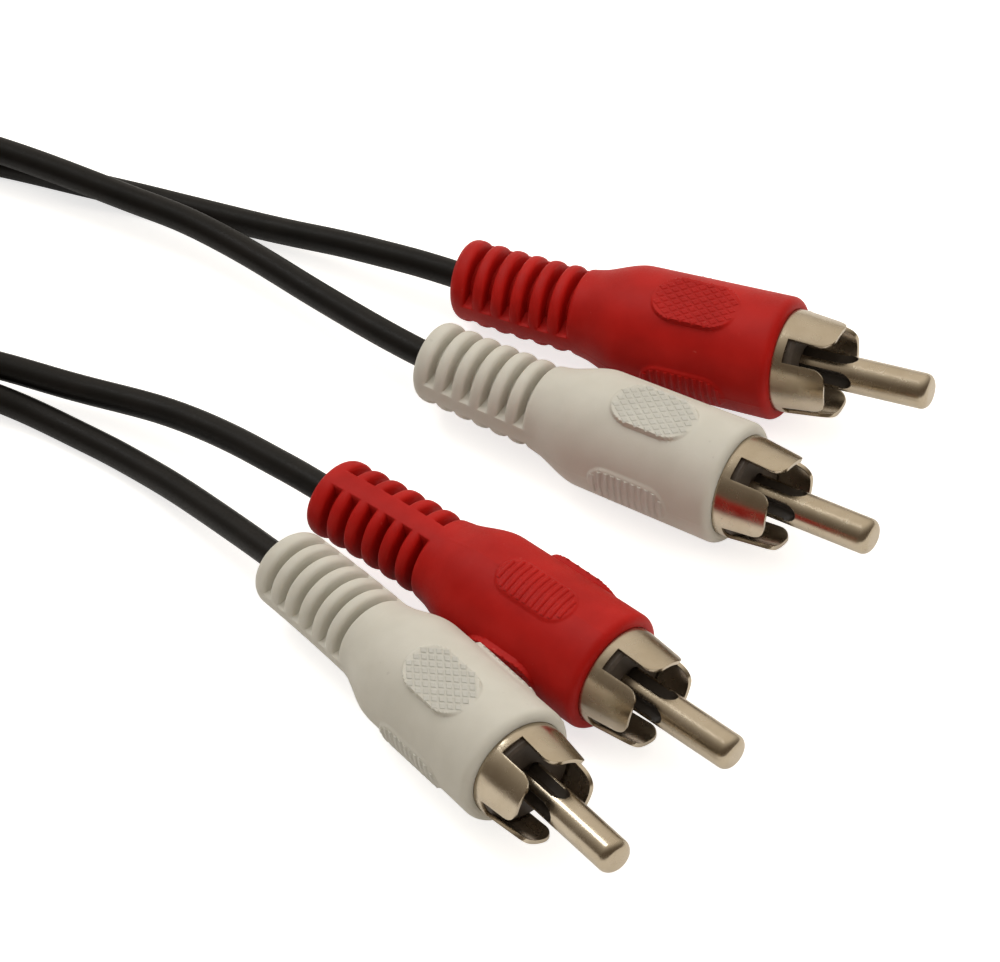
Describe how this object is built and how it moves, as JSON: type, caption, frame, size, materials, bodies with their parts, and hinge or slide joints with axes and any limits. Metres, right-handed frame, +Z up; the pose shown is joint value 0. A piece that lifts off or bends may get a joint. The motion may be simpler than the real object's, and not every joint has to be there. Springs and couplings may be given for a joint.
{
  "type": "rca audio cable",
  "caption": "Stereo RCA patch cable, red and white moulded phono plugs at both ends of a black twin lead, spare length in a tied coil.",
  "frame": {"origin": "on the surface that the cable lies on, below the middle of the box of the four plugs", "axes": "+Z up; +X to the right as seen from the front, the way the plugs point more or less; +Y away from the viewer, across the row of plugs"},
  "size_m": [0.1482, 0.1073, 0.012],
  "materials": {
    "red_pvc": "satin moulded red PVC",
    "white_pvc": "satin moulded white PVC",
    "nickel": "bright nickel plating",
    "black_plastic": "matte black plastic",
    "clear_plastic": "milky polyethylene",
    "copper": "bare stranded copper",
    "jacket": "satin black PVC jacket"
  },
  "bodies": {
    "root": {"plug1_boot": "red_pvc", "plug1_shell": "nickel", "plug1_pin": "nickel", "plug1_insulator": "black_plastic", "plug1_premould": "black_plastic", "plug1_braid": "copper", "plug1_conductor": "copper", "plug1_core": "clear_plastic", "plug1_crimp": "nickel", "plug1_jacket": "jacket", "plug2_boot": "white_pvc", "plug2_shell": "nickel", "plug2_pin": "nickel", "plug2_insulator": "black_plastic", "plug2_premould": "black_plastic", "plug2_braid": "copper", "plug2_conductor": "copper", "plug2_core": "clear_plastic", "plug2_crimp": "nickel", "plug2_jacket": "jacket", "plug3_boot": "red_pvc", "plug3_shell": "nickel", "plug3_pin": "nickel", "plug3_insulator": "black_plastic", "plug3_premould": "black_plastic", "plug3_braid": "copper", "plug3_conductor": "copper", "plug3_core": "clear_plastic", "plug3_crimp": "nickel", "plug3_jacket": "jacket", "plug4_boot": "white_pvc", "plug4_shell": "nickel", "plug4_pin": "nickel", "plug4_insulator": "black_plastic", "plug4_premould": "black_plastic", "plug4_braid": "copper", "plug4_conductor": "copper", "plug4_core": "clear_plastic", "plug4_crimp": "nickel", "plug4_jacket": "jacket", "lead1": "jacket", "lead2": "jacket", "lead3": "jacket", "lead4": "jacket", "coil": "jacket", "tie": "black_plastic"}
  },
  "joints": []
}
